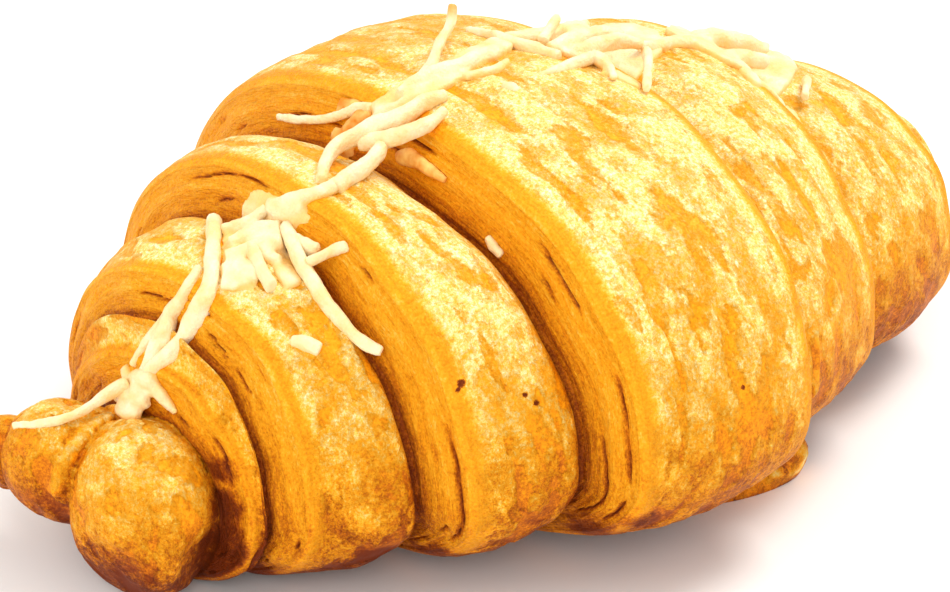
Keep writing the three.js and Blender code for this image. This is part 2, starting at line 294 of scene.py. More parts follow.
def normals_of(target):
    found = np.empty(len(target.data.vertices) * 3)
    target.data.vertices.foreach_get("normal", found)
    return found.reshape(-1, 3)


# The horns' knobs and the sheet's tucked corner grow out of the same dough. Each has its middle, its
# radii, how many degrees it is turned, and how many segments and loops it is made with.
LUMPS = [
    ((-53.5, -2.0, 10.6), (8.6, 9.8, 10.9), 0, 96, 64),
    ((-56.5, 8.6, 13.2), (7.2, 8.6, 7.6), 20, 80, 52),
    ((-60.0, 16.0, 12.0), (4.2, 6.5, 4.2), 20, 56, 36),
    ((69.0, 3.5, 12.0), (8.8, 10.5, 11.6), 0, 80, 52),
    ((73.5, 10.5, 12.5), (6.5, 8.0, 7.6), -20, 64, 40),
    ((15.5, -28.0, 2.2), (10.5, 4.2, 5.4), -12, 72, 40),
]
FRONT_KNOB = 0
TUCKED_CORNER = 5
for at, radii, degrees, segments, loops in LUMPS:
    bpy.ops.object.select_all(action="DESELECT")
    bpy.ops.mesh.primitive_uv_sphere_add(segments=segments, ring_count=loops, radius=1.0)
    knob = bpy.context.object
    bpy.ops.object.mode_set(mode="EDIT")
    bpy.ops.transform.resize(value=[radius * MM for radius in radii])
    bpy.ops.transform.rotate(value=-math.radians(degrees), orient_axis="Z", center_override=(0, 0, 0))
    bpy.ops.transform.translate(value=Vector(at) * MM + ROLL_ORIGIN)
    bpy.ops.object.mode_set(mode="OBJECT")
    bpy.context.view_layer.objects.active = croissant
    join = croissant.modifiers.new("join_knob", "BOOLEAN")
    join.operation = "UNION"
    join.solver = "EXACT"
    join.object = knob
    bpy.ops.object.modifier_apply(modifier=join.name)
    bpy.data.objects.remove(knob)


def choose(*pieces):
    """Selects these pieces and no others, and makes the first the active one."""
    bpy.ops.object.select_all(action="DESELECT")
    for piece in pieces:
        piece.select_set(True)
    bpy.context.view_layer.objects.active = pieces[0]


# The belly is trimmed flat on the table, and slivers along the cuts are merged away.
TRIM = 1e-7
SLIVER = 2e-5
choose(croissant)
bpy.ops.object.mode_set(mode="EDIT")
bpy.ops.mesh.select_all(action="SELECT")
bpy.ops.mesh.bisect(
    plane_co=(0, 0, 0), plane_no=(0, 0, -1), clear_outer=True, use_fill=True, threshold=TRIM,
)
bpy.ops.mesh.select_all(action="SELECT")
bpy.ops.mesh.remove_doubles(threshold=SLIVER)
bpy.ops.object.mode_set(mode="OBJECT")


def field(places, scale, octaves=3, seed=0.0):
    """Smooth noise from about -1 to 1 at each place, with lumps about scale metres across."""
    shift = Vector((seed * 7.31, seed * 3.17, seed * 5.53))
    return np.array([noise.fractal(Vector(p) / scale + shift, 1.0, 2.0, octaves) for p in places])


def smooth_step(low, high, value):
    """From 0 at low to 1 at high, eased at both ends."""
    t = np.clip((value - low) / (high - low), 0, 1)
    return t * t * (3 - 2 * t)


# The knobs have a finish of their own: no seams, and a grain that runs every way. A place is on a knob
# where it lies this near to its skin, as a share of the knob's radius.
ON_SKIN = 0.006
places = positions(croissant)
finish = {key: kept(croissant, key) for key in FINISH}
grain = kept(croissant, "grain", 3)
on_knobs = []
for at, radii, degrees, *_ in LUMPS:
    apart = (places - np.array(ROLL_ORIGIN)) / MM - np.array(at)
    cos, sin = math.cos(math.radians(degrees)), math.sin(math.radians(degrees))
    unturned = [apart[:, 0] * cos + apart[:, 1] * sin, apart[:, 1] * cos - apart[:, 0] * sin, apart[:, 2]]
    on_knob = np.abs(np.linalg.norm(np.column_stack(unturned) / np.array(radii), axis=1) - 1) < ON_SKIN
    on_knobs.append(on_knob)
    for key in FINISH:
        finish[key][on_knob] = 0
    grain[on_knob] = places[on_knob] / 2
for key in FINISH:
    keep(croissant, key, finish[key])
keep(croissant, "grain", grain, "FLOAT_VECTOR")

# The near horn's front knob is not round: it was pinched flatter on a few sides. Each side has the way it
# faces and how far it lies from the knob's middle.
PRESSED = 0.85
PINCHED = [((-0.88, -0.22, -0.41), 7.6), ((-0.21, -0.43, 0.88), 9.3), ((0.31, -0.89, -0.31), 8.4)]
knob_middle = np.array(LUMPS[FRONT_KNOB][0])
apart = (places - np.array(ROLL_ORIGIN)) / MM - knob_middle
for facing_way, least in PINCHED:
    beyond = np.clip(apart @ np.array(facing_way) - least, 0, None) * on_knobs[FRONT_KNOB]
    apart = apart - PRESSED * beyond[:, None] * np.array(facing_way)
pinched = (apart + knob_middle) * MM + np.array(ROLL_ORIGIN)
places = np.where(on_knobs[FRONT_KNOB][:, None], pinched, places)
croissant.data.vertices.foreach_set("co", places.ravel())
croissant.data.update()

# Folds and flaky edges stand up along a few lines: between the near horn's knobs, on the edge of the
# broadest wrap, and round the tucked corner. Each has a rise, a reach and how much paler it is.
FOLDS = [
    (0.9, 1.2, 0.55, [
        (-61.3, 4.5, 19.3), (-65.3, 3.3, 19.1), (-67.0, 3.0, 18.2), (-68.3, 2.8, 16.8), (-69.8, 3.3, 13.3),
    ]),
    (0.5, 0.8, 0.6, [(10.8, -38.4, 23.8), (11.1, -38.7, 21.8), (10.8, -39.0, 19.4), (10.2, -39.1, 16.2)]),
    (0.4, 1.0, 1.0, [
        (10.5, -33.0, 2.5), (12.9, -33.1, 1.8), (15.2, -32.6, 1.2), (15.6, -32.7, 2.4), (15.8, -32.3, 4.0),
    ]),
]


def off_line(line):
    """How far each place lies from a line of points, in mm."""
    nearest = np.full(len(places), np.inf)
    for a, b in zip(np.array(line[:-1]), np.array(line[1:])):
        share = np.clip((places / MM - a) @ (b - a) / ((b - a) @ (b - a)), 0, 1)
        nearest = np.minimum(nearest, np.linalg.norm(places / MM - a - share[:, None] * (b - a), axis=1))
    return nearest


RAGGED_SCALE = 0.0022
ragged = field(places, RAGGED_SCALE, 3, 9)
fold, pale = np.zeros(len(places)), np.zeros(len(places))
for rise, reach, paler, line in FOLDS:
    stand = np.clip(1 - (off_line(line) / reach) ** 2, 0, 1)
    fold += rise * stand
    pale = np.maximum(pale, paler * stand * np.clip(0.75 + 1.1 * ragged, 0, 1))
# The tucked corner and the upper half of the front knob are painted paler than the dough round them.
knob_top = on_knobs[FRONT_KNOB] & (places[:, 2] > 9 * MM)
for paler_place, paler in [(on_knobs[TUCKED_CORNER], 0.48), (knob_top, 0.24)]:
    pale[paler_place] = np.maximum(pale[paler_place], paler * np.clip(1 + 0.8 * ragged[paler_place], 0, 1))

# Painted shadow in dark brown: between the front knob and the first wrap, and under the edges of
# the next ones. Each has its middle and its reach.
PAINTED_SHADOW_SPOTS = [
    ((-56.2, -11.0, 17.5), 2.4), ((-56.2, -11.6, 13.0), 3.4), ((-56.2, -12.3, 8.5), 4.2),
    ((-56.0, -12.0, 4.5), 4.5), ((-52.1, -10.1, 1.8), 5.0), ((-44.9, -23.9, 5.5), 4.5),
    ((-41.4, -24.1, 4.5), 4.5), ((-37.5, -25.7, 4.5), 4.0), ((-27.6, -34.4, 5.5), 5.0),
    ((-22.7, -36.7, 6.0), 6.0), ((-20.6, -42.9, 9.0), 4.5),
]
painted_shadow = np.zeros(len(places))
for middle, reach in PAINTED_SHADOW_SPOTS:
    away = np.linalg.norm(places / MM - np.array(middle), axis=1)
    painted_shadow = np.maximum(painted_shadow, smooth_step(0, 0.6, 1 - away / reach + 0.25 * ragged))
# The painted shadow is kept faint on the first wrap's own band and rim.
FIRST_RIM_SHADOW_SHARE = 0.15
first_rim = (finish["nth"] < 0.5) & (finish["face"] < 0.5) & ~on_knobs[FRONT_KNOB]
painted_shadow[first_rim] *= FIRST_RIM_SHADOW_SHARE

# Relief of the crust: soft lumps, wrinkles and smooth pits drawn out round the roll on the bands, the
# edges of the layers on the faces of the seams, and two lines where the layers have come apart.
LUMP_RISE = 0.45
WRINKLE_RISE = 0.3
PIT_DEPTH = 0.28
LAYER_RISE = 0.28
GAP_DEPTH = 0.9
# Each line of gaps runs at a share of the step's height, with its swing, its width and its rarity.
GAPS = [(0.68, 0.12, 0.034, 0.0), (0.42, 0.14, 0.028, 0.12)]
# The relief fades out over the last of the height above the table.
FADE_HEIGHT = 0.003
normals = normals_of(croissant)
crack, face, rim, level, nth = (finish[key] for key in FINISH)
plain = np.clip(1 - crack - face - rim, 0, 1)
layers = field(grain * np.array([0.45, 0.45, 1.0]), 0.0011, 2, 4)
round_roll = grain[:, :2] / (GRAIN_RADIUS * MM)
along_seam = np.column_stack([round_roll * 1.6, np.round(nth) * 3.7])
gap = np.zeros(len(places))
for k, (middle, swing, width, least) in enumerate(GAPS):
    line = middle + swing * field(along_seam, 0.8, 3, 8 + k)
    open_here = smooth_step(least, least + 0.3, field(along_seam, 0.5, 2, 18 + k))
    gap = np.maximum(gap, open_here * np.clip(1 - np.abs(level - line) / width, 0, 1))
gap *= smooth_step(0.3, 0.7, face)
lumps = field(places, 0.013, 2, 1)
wrinkles = field(places * np.array([1.0, 0.45, 0.6]), 0.004, 3, 2)
pits = smooth_step(0.09, 0.31, field(grain * np.array([2.1, 2.1, 1.0]), 0.0027, 2, 6)) * plain
# The front knob and the wraps past the broadest one are less pitted.
pits[on_knobs[FRONT_KNOB]] *= 0.7
pits[nth > 3.2] *= 0.72
on_bands = (LUMP_RISE * lumps + WRINKLE_RISE * wrinkles - PIT_DEPTH * pits) * plain
relief = on_bands + LAYER_RISE * layers * face * (1 - gap) - GAP_DEPTH * gap + fold
off_table = np.clip(places[:, 2] / FADE_HEIGHT, 0, 1)
moved = places + normals * (relief * off_table * MM)[:, None]
moved[:, 2] = np.maximum(moved[:, 2], 0)
croissant.data.vertices.foreach_set("co", moved.ravel())
croissant.data.update()

# How closed in each place is, from 0 in the open to 1 deep in a crevice: a fan of rays looks for crust
# within reach, and near crust counts for more.
places, normals = positions(croissant), normals_of(croissant)
surface = BVHTree.FromObject(croissant, bpy.context.evaluated_depsgraph_get())
RAYS = 9
REACH = 0.005
OFF_SKIN = 1e-4
CLOSED_GAIN = 2.2
fan = []
for i in range(RAYS):
    spin, height = math.pi * (3 - math.sqrt(5)) * i, 0.95 * (1 - i / RAYS)
    spread = math.sqrt(1 - height * height)
    fan.append(Vector((math.cos(spin) * spread, math.sin(spin) * spread, height)))
closed = np.zeros(len(places))
for i, (place, normal) in enumerate(zip(places, normals)):
    place, normal = Vector(place), Vector(normal)
    turn_to = normal.to_track_quat("Z", "Y")
    for ray in fan:
        hit = surface.ray_cast(place + normal * OFF_SKIN, turn_to @ ray, REACH)
        if hit[0] is not None:
            closed[i] += (1 - hit[3] / REACH) / RAYS
# The paint darkens with this, as painted shade in crevices.
keep(croissant, "closed", np.clip(closed * CLOSED_GAIN, 0, 1))
keep(croissant, "gap", gap)
keep(croissant, "pale", pale)
keep(croissant, "lump", plain * wrinkles)
keep(croissant, "pit", pits)
keep(croissant, "painted_shadow", painted_shadow)
bpy.ops.object.shade_smooth()


def new_material(name, base, roughness):
    material = bpy.data.materials.new(name)
    material.use_nodes = True
    nodes, links = material.node_tree.nodes, material.node_tree.links
    shader = nodes["Principled BSDF"]
    shader.inputs["Base Color"].default_value = (*base, 1)
    shader.inputs["Roughness"].default_value = roughness
    return material, nodes, links, shader


def colour(red, green, blue):
    """A shade given as seen on screen, as the shader wants it."""
    shares = [part / 255 for part in (red, green, blue)]
    return [((v + 0.055) / 1.055) ** 2.4 if v > 0.04 else v / 12.92 for v in shares] + [1]


crust, nodes, links, shader = new_material("baked_crust", (0.9, 0.4, 0.05), 0.5)


def attribute(name, output="Fac"):
    """What keep stored under a name, for the paint of the material that is being made."""
    node = nodes.new("ShaderNodeAttribute")
    node.attribute_name = name
    return node.outputs[output]


def math_node(operation, a, b=0.0, c=0.0):
    node = nodes.new("ShaderNodeMath")
    node.operation = operation
    for socket, value in zip(node.inputs, (a, b, c)):
        if isinstance(value, (int, float)):
            socket.default_value = value
        else:
            links.new(value, socket)
    return node.outputs[0]


def pattern(
    scale, detail, stretch=(1, 1, 1), roughness=0.6, where=None, low=0.35, high=0.65, turn=0.0, warp=0.0
):
    """Noise from -1 to 1 on the piece's own coordinates, or on the given ones."""
    if where is None:
        where = nodes.new("ShaderNodeTexCoord").outputs["Object"]
    mapping = nodes.new("ShaderNodeMapping")
    mapping.inputs["Scale"].default_value = stretch
    mapping.inputs["Rotation"].default_value = (0, 0, turn)
    links.new(where, mapping.inputs["Vector"])
    texture = nodes.new("ShaderNodeTexNoise")
    texture.inputs["Scale"].default_value = scale
    texture.inputs["Detail"].default_value = detail
    texture.inputs["Roughness"].default_value = roughness
    texture.inputs["Distortion"].default_value = warp
    links.new(mapping.outputs["Vector"], texture.inputs["Vector"])
    return spread_over(texture.outputs["Fac"], low, high, -1, 1)


def spread_over(value, low, high, to_low=0.0, to_high=1.0):
    """Goes from to_low to to_high as the value goes from low to high, and no further."""
    node = nodes.new("ShaderNodeMapRange")
    for key, number in (("From Min", low), ("From Max", high), ("To Min", to_low), ("To Max", to_high)):
        node.inputs[key].default_value = number
    links.new(value, node.inputs["Value"])
    return node.outputs["Result"]


def blend(a, b, share):
    """From a to b as share goes from 0 to 1."""
    node = nodes.new("ShaderNodeMix")
    for socket, value in ((node.inputs["A"], a), (node.inputs["B"], b), (node.inputs["Factor"], share)):
        if isinstance(value, (int, float)):
            socket.default_value = value
        else:
            links.new(value, socket)
    return node.outputs["Result"]


def plus(value, what, share):
    """A value raised by a share of something else, or lowered where the share is below zero."""
    return math_node("MULTIPLY_ADD", what, share, value)


def the_rest_of(share):
    return math_node("SUBTRACT", 1.0, share)


# How pale the crust is, from 0 in a crevice to 1 on the palest flecks, which are partly flaked skin and
# partly painted highlights: the tones of the glazed skin, of those flecks, of the layers' edges, of a seam's
# rim, and of pale dough.
SKIN_TONE = 0.54
FLAKE_AND_HIGHLIGHT_TONE = 0.80
LAYER_TONE = 0.47
RIM_TONE = 0.50
PALE_TONE = 0.82
geometry = nodes.new("ShaderNodeNewGeometry")
facing = nodes.new("ShaderNodeSeparateXYZ")
links.new(geometry.outputs["Normal"], facing.inputs[0])
own_place = nodes.new("ShaderNodeTexCoord").outputs["Object"]
height = nodes.new("ShaderNodeSeparateXYZ")
links.new(own_place, height.inputs[0])
# Which way the skin faces, how high it lies, and the grains of several sizes that break up its tones.
upward = spread_over(facing.outputs["Z"], -0.2, 0.9)
risen = spread_over(height.outputs["Z"], 0.0, 0.025)
speckle = pattern(3000, 2, low=0.38, high=0.62)
granules = pattern(1300, 5, roughness=0.8, low=0.38, high=0.62)
crumbs = pattern(1700, 6, (1, 0.8, 0.8), 0.9, low=0.40, high=0.60)
# The pale flecks are partly flaked skin and partly painted highlights: most where the skin faces up, on
# wrinkles and on rims, and least in pits and down the back.
flakes_and_highlights = pattern(330, 8, (1, 0.55, 0.62), 0.78, turn=0.5, low=0.40, high=0.60, warp=0.3)
flakes_and_highlights = plus(flakes_and_highlights, attribute("lump"), 0.7)
flakes_and_highlights = plus(flakes_and_highlights, granules, 0.55)
pit = spread_over(plus(attribute("pit"), granules, 0.30), 0.30, 0.62)
# Painted highlight: more pale flecks where the skin faces up.
flakes_and_highlights = plus(flakes_and_highlights, upward, 1.15)
flakes_and_highlights = plus(flakes_and_highlights, spread_over(attribute("rim"), 0.02, 0.3), 0.7)
# Painted shade: fewer pale flecks down the back, away from the light.
flakes_and_highlights = plus(flakes_and_highlights, spread_over(height.outputs["Y"], 0.004, 0.026), -0.95)
flakes_and_highlights = spread_over(plus(flakes_and_highlights, pit, -1.7), -0.9, 1.3)
flake_and_highlight_tone = plus(FLAKE_AND_HIGHLIGHT_TONE, crumbs, 0.13)
smooth_tone = plus(SKIN_TONE, crumbs, 0.06)
band_tone = blend(smooth_tone, flake_and_highlight_tone, flakes_and_highlights)
# The crust is darker low down: partly its own browning near the tray and partly painted shade on the
# lower flanks, and darkest right by the table, with painted shade under the roll.
brown = spread_over(pattern(240, 5, roughness=0.7), -1, 1, 0.5, 1.5)
lowness = math_node("MULTIPLY", the_rest_of(risen), brown)
beneath = the_rest_of(spread_over(height.outputs["Z"], 0.0005, 0.007))
band_tone = plus(band_tone, lowness, -0.34)
# Painted shade: bands are darker where they face down or sideways.
band_tone = plus(band_tone, the_rest_of(upward), -0.14)
# The layers' edges: streaks and fibres that run round the roll.
along_grain = attribute("grain", "Vector")
streaks = pattern(1000, 4, (0.8, 0.8, 1), 0.75, along_grain)
fibres = pattern(2600, 3, (0.6, 0.6, 1), 0.75, along_grain)
face_tone = plus(LAYER_TONE, streaks, 0.055)
face_tone = plus(face_tone, fibres, 0.05)
face_tone = plus(face_tone, crumbs, 0.045)
face_tone = plus(face_tone, spread_over(attribute("level"), 0.0, 0.5), 0.07)
# Darker low down on the faces too, partly browning and partly painted shade.
face_tone = plus(face_tone, lowness, -0.20)
# Bands, faces and rims together, and then all that darkens or pales them.
on_face = attribute("face")
on_rim = plus(attribute("rim"), granules, 0.06)
tone = blend(band_tone, face_tone, spread_over(on_face, 0.15, 0.6))
tone = blend(tone, RIM_TONE, spread_over(on_rim, 0.50, 0.74))
tone = plus(tone, speckle, 0.05)
tone = plus(tone, math_node("MULTIPLY", lowness, crumbs), 0.06)
# Painted shade: darker in the seams' cracks, where the crust is closed in, right by the table, and in the
# layers' gaps.
tone = plus(tone, spread_over(attribute("crack"), 0.6, 1.0), -0.14)
tone = plus(tone, attribute("closed"), -0.22)
tone = plus(tone, beneath, -0.24)
tone = plus(tone, spread_over(attribute("gap"), 0.1, 0.8), -0.24)
# Painted shadow: dark brown at the listed spots by the front knob and under the wraps' edges.
tone = plus(tone, attribute("painted_shadow"), -0.34)
tone = blend(tone, plus(PALE_TONE, crumbs, 0.14), attribute("pale"))
# A few burnt crumbs stick to the near wraps: where each is, and its radius.
BURNT_DARKER = -0.6
BURNT_RAGGED = 0.0001
BURNT = [
    ((-36.2, -29.9, 30.0), 0.45), ((-36.8, -30.0, 29.4), 0.30), ((-30.2, -33.9, 28.1), 0.30),
    ((-29.1, -34.7, 27.0), 0.38), ((-7.6, -45.7, 26.3), 0.28),
]
for middle, radius in BURNT:
    away = nodes.new("ShaderNodeVectorMath")
    away.operation = "DISTANCE"
    away.inputs[1].default_value = Vector(middle) * MM
    links.new(own_place, away.inputs[0])
    edge = plus(away.outputs["Value"], crumbs, BURNT_RAGGED)
    edge = spread_over(edge, radius * 1.3 * MM, radius * 0.7 * MM)
    tone = plus(tone, edge, BURNT_DARKER)
# The crust's shades, from the darkest brown, used for painted shade and shadow, through amber to the
# palest cream, used for flakes and painted highlights, each at its tone.
ramp = nodes.new("ShaderNodeValToRGB")
ramp.color_ramp.elements.remove(ramp.color_ramp.elements[1])
SHADES = [
    (0.0, (112, 40, 0)), (0.16, (150, 66, 0)), (0.32, (206, 112, 4)), (0.46, (243, 152, 10)),
    (0.58, (252, 172, 30)), (0.70, (252, 196, 84)), (0.82, (253, 220, 138)), (0.93, (254, 240, 196)),
    (1.0, (255, 248, 222)),
]
for k, (place, shade) in enumerate(SHADES):
    stop = ramp.color_ramp.elements[0] if k == 0 else ramp.color_ramp.elements.new(place)
    stop.position = place
    stop.color = colour(*shade)
links.new(tone, ramp.inputs["Fac"])
links.new(ramp.outputs["Color"], shader.inputs["Base Color"])
shader.inputs["Specular IOR Level"].default_value = 0.12
# Flakes too fine to model stand up a little in the bump.
bump = nodes.new("ShaderNodeBump")
bump.inputs["Strength"].default_value = 0.8
bump.inputs["Distance"].default_value = 0.0007
crumbly = math_node("MULTIPLY", pattern(1300, 2, roughness=0.5), flakes_and_highlights)
band_height = plus(math_node("MULTIPLY", flakes_and_highlights, 0.40), crumbly, 0.20)
face_height = plus(math_node("MULTIPLY", streaks, 0.30), fibres, 0.2)
links.new(blend(band_height, face_height, on_face), bump.inputs["Height"])
links.new(bump.outputs["Normal"], shader.inputs["Normal"])
croissant.data.materials.clear()
croissant.data.materials.append(crust)
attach(croissant, "root")
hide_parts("croissant")

# ---------------------------------------------------------------------------------------------------
# Shreds of grated cheese: thin rods cut by a grater, strewn along the back before baking. Each has
# softened, sagged onto the crust and tapered where it ran, and its cut ends have rounded over.
# ---------------------------------------------------------------------------------------------------
# Each shred follows one or two strokes of points: x, y, z and the width there.
SHREDS = {
    "shred_near_side": [
        [
            (-69.6, 11.8, 18.3, 0.9), (-68.7, 8.4, 19.7, 1.0), (-66.4, 5.6, 20.9, 1.1),
            (-63.6, 4.9, 21.6, 1.2), (-60.8, 4.7, 22.6, 1.4), (-58.6, 3.8, 23.6, 1.7),
        ],
    ],
    "shred_near_long": [
        [
            (-44.0, 6.4, 38.9, 2.0), (-46.8, 2.7, 39.0, 2.0), (-49.0, -0.1, 37.9, 2.1),
            (-50.8, -2.2, 36.5, 2.2), (-52.7, -3.4, 35.0, 2.4), (-53.8, -2.7, 32.6, 2.2),
            (-54.4, -1.9, 30.6, 1.7), (-55.7, -1.1, 28.8, 1.8), (-56.8, 0.3, 27.1, 1.6),
            (-57.6, 1.3, 25.7, 1.5),
        ],
    ],
    "shred_near_thin": [
        [
            (-50.1, 0.8, 37.1, 1.3), (-52.0, 0.1, 35.9, 1.4), (-53.2, 0.2, 34.2, 1.5),
            (-53.9, 1.3, 32.0, 2.0), (-55.3, 0.6, 30.8, 2.2), (-55.9, 1.1, 28.9, 2.0),
            (-56.7, 1.6, 27.0, 1.7), (-57.6, 2.0, 25.5, 1.4),
        ],
        [
            (-54.0, 2.0, 31.5, 1.2), (-55.4, 2.0, 30.6, 1.1), (-56.1, 3.3, 28.5, 1.0),
            (-56.8, 4.1, 26.7, 1.0), (-57.4, 4.4, 25.2, 1.2),
        ],
    ],
    "shred_front_stub": [
        [
            (-45.2, -2.5, 39.7, 1.8), (-46.1, -4.9, 38.9, 1.8), (-46.7, -7.1, 38.2, 1.8),
            (-47.1, -9.0, 37.5, 1.7),
        ],
    ],
    "shred_front_hanging": [
        [
            (-40.9, -3.4, 41.1, 1.8), (-41.9, -6.2, 40.3, 2.0), (-42.5, -8.2, 39.3, 2.0),
            (-42.9, -11.1, 37.9, 1.9), (-43.2, -13.9, 36.4, 1.8), (-42.9, -16.7, 34.8, 1.6),
            (-42.4, -19.6, 33.4, 1.4), (-41.2, -21.8, 32.6, 1.2),
        ],
    ],
    "shred_front_cross": [
        [
            (-42.5, -9.8, 39.5, 1.2), (-41.3, -10.8, 40.3, 1.2), (-39.8, -11.5, 41.0, 1.3),
            (-39.1, -12.8, 41.8, 1.3),
        ],
    ],
    "shred_front_flake": [
        [(-48.0, -14.0, 33.1, 1.0), (-47.2, -15.6, 33.0, 1.6), (-46.3, -17.0, 32.5, 1.5)],
    ],
    "shred_back_left": [
        [
            (-36.0, -3.8, 45.6, 1.5), (-33.4, -1.4, 46.3, 1.6), (-30.6, 0.0, 47.1, 1.8),
            (-28.0, -0.8, 48.0, 2.1), (-26.0, -1.8, 49.0, 2.2), (-23.7, -3.3, 49.9, 2.1),
            (-20.4, -3.1, 50.7, 1.9), (-17.4, -3.8, 51.2, 1.4),
        ],
    ],
    "shred_back_right": [
        [
            (-28.4, -1.0, 47.0, 1.6), (-26.8, -3.6, 48.0, 1.9), (-25.3, -5.4, 48.9, 1.9),
            (-23.0, -6.6, 49.8, 1.7), (-19.6, -6.3, 50.7, 1.1),
        ],
    ],
    "shred_back_flat": [
        [
            (-35.5, -6.0, 45.2, 2.0), (-33.3, -5.2, 45.5, 2.1), (-31.2, -5.3, 46.2, 2.0),
            (-28.8, -4.9, 47.0, 1.9), (-27.3, -4.1, 47.6, 1.6),
        ],
    ],
    "shred_back_fine": [
        [
            (-25.0, 19.8, 42.1, 0.9), (-24.8, 15.0, 43.4, 1.0), (-24.4, 10.4, 45.1, 1.0),
            (-23.6, 7.4, 46.7, 1.2), (-22.7, 5.8, 47.6, 1.4), (-22.6, 3.8, 47.9, 1.6),
        ],
    ],
    "shred_back_curl": [
        [
            (-23.9, -2.9, 44.6, 1.5), (-23.7, -4.8, 45.2, 2.0), (-23.8, -7.1, 45.3, 1.6),
            (-23.8, -9.4, 45.1, 1.2), (-23.7, -11.5, 44.8, 0.8),
        ],
    ],
    "shred_groove": [
        [(-23.9, -19.3, 40.6, 0.8), (-23.8, -20.3, 39.8, 1.2), (-23.6, -21.6, 39.0, 1.0)],
    ],
    "shred_crown_upright": [
        [
            (-16.8, 1.4, 51.1, 1.9), (-13.9, 3.5, 51.5, 1.6), (-9.7, 7.0, 52.3, 1.3),
            (-6.6, 8.9, 53.5, 1.2), (-5.5, 10.0, 54.9, 1.3),
        ],
    ],
    "shred_crown_point": [
        [
            (-2.2, 11.3, 50.4, 0.7), (-2.0, 7.6, 50.9, 1.3), (-2.0, 4.2, 51.2, 1.6),
            (-1.0, 0.3, 51.2, 1.7), (0.4, -3.3, 51.0, 1.3),
        ],
    ],
    "shred_crown_short": [
        [(5.4, 3.0, 52.7, 1.3), (2.6, 1.8, 51.7, 1.3), (1.4, 1.2, 51.2, 1.5)],
    ],
    "shred_crown_tail": [
        [(-5.5, -6.5, 51.1, 0.8), (-1.2, -6.6, 51.2, 1.3), (3.2, -6.0, 51.1, 1.6)],
    ],
    "shred_crown_hanging": [
        [(13.7, -4.0, 48.2, 1.5), (9.4, -9.2, 49.9, 1.3), (4.2, -14.8, 49.7, 1.1)],
    ],
    "shred_crown_crumb": [
        [(-11.0, -6.3, 51.1, 1.3), (-10.4, -7.4, 51.2, 1.5), (-10.4, -8.4, 51.0, 1.0)],
    ],
    "shred_far_short": [
        [(38.8, -6.8, 38.4, 1.2), (36.8, -8.8, 38.6, 1.3), (34.8, -10.6, 38.4, 1.1)],
    ],
}
# A strand's thin way through as a share of its wide one, how far it sinks into the crust, how much fuller
# it is than its strokes say, how finely it is fused, how much it is smoothed, and how uneven it ends up.
FLATNESS = 0.76
SINK = 0.25
PLUMPNESS = 1.2
SHRED_VOXEL = 0.00024
SHRED_ROUNDS = 3
SHRED_LUMPS = 0.16


def strand_along(stroke, plumpness=1.0):
    """A flattened rod of cheese through the points of a stroke, as a closed mesh object."""
    bpy.ops.object.select_all(action="DESELECT")
    bpy.ops.curve.primitive_bezier_circle_add(radius=0.5 * MM)
    section = bpy.context.object
    bpy.ops.object.mode_set(mode="EDIT")
    bpy.ops.transform.resize(value=(FLATNESS, 1, 1))
    bpy.ops.object.mode_set(mode="OBJECT")
    bpy.ops.object.select_all(action="DESELECT")
    bpy.ops.curve.primitive_bezier_curve_add()
    strand = bpy.context.object
    strand.data.splines.remove(strand.data.splines[0])
    spline = strand.data.splines.new("BEZIER")
    spline.bezier_points.add(len(stroke) - 1)
    for point, (x, y, z, width) in zip(spline.bezier_points, stroke):
        point.co = Vector((x, y, z - SINK)) * MM
        point.radius = width * plumpness
        point.handle_left_type = point.handle_right_type = "AUTO"
    strand.data.dimensions = "3D"
    strand.data.twist_mode = "Z_UP"
    strand.data.resolution_u = 8
    strand.data.bevel_mode = "OBJECT"
    strand.data.bevel_object = section
    strand.data.use_fill_caps = True
    bpy.ops.object.convert(target="MESH")
    bpy.data.objects.remove(section)
    return bpy.context.object


def join_into_one(pieces):
    choose(*pieces)
    if len(pieces) > 1:
        bpy.ops.object.join()
    return pieces[0]


BROAD_LUMPS = 0.0024
FINE_LUMPS = 0.0009


def melt_over(target, voxel, rounds, lumps, seed):
    """Fuses a piece and rounds it over as melting does, and makes it a little uneven."""
    choose(target)
    bpy.ops.object.mode_set(mode="EDIT")
    bpy.ops.mesh.select_all(action="SELECT")
    bpy.ops.mesh.normals_make_consistent(inside=False)
    bpy.ops.object.mode_set(mode="OBJECT")
    remesh = target.modifiers.new("fuse", "REMESH")
    remesh.mode = "VOXEL"
    remesh.voxel_size = voxel
    bpy.ops.object.modifier_apply(modifier=remesh.name)
    soften = target.modifiers.new("soften", "SMOOTH")
    soften.factor = 0.5
    soften.iterations = rounds
    bpy.ops.object.modifier_apply(modifier=soften.name)
    spots = positions(target)
    swell = lumps * field(spots, BROAD_LUMPS, 2, seed) + 0.25 * lumps * field(spots, FINE_LUMPS, 2, seed + 5)
    spots = spots + normals_of(target) * (swell * MM)[:, None]
    target.data.vertices.foreach_set("co", spots.ravel())
    target.data.update()
    bpy.ops.object.shade_smooth()


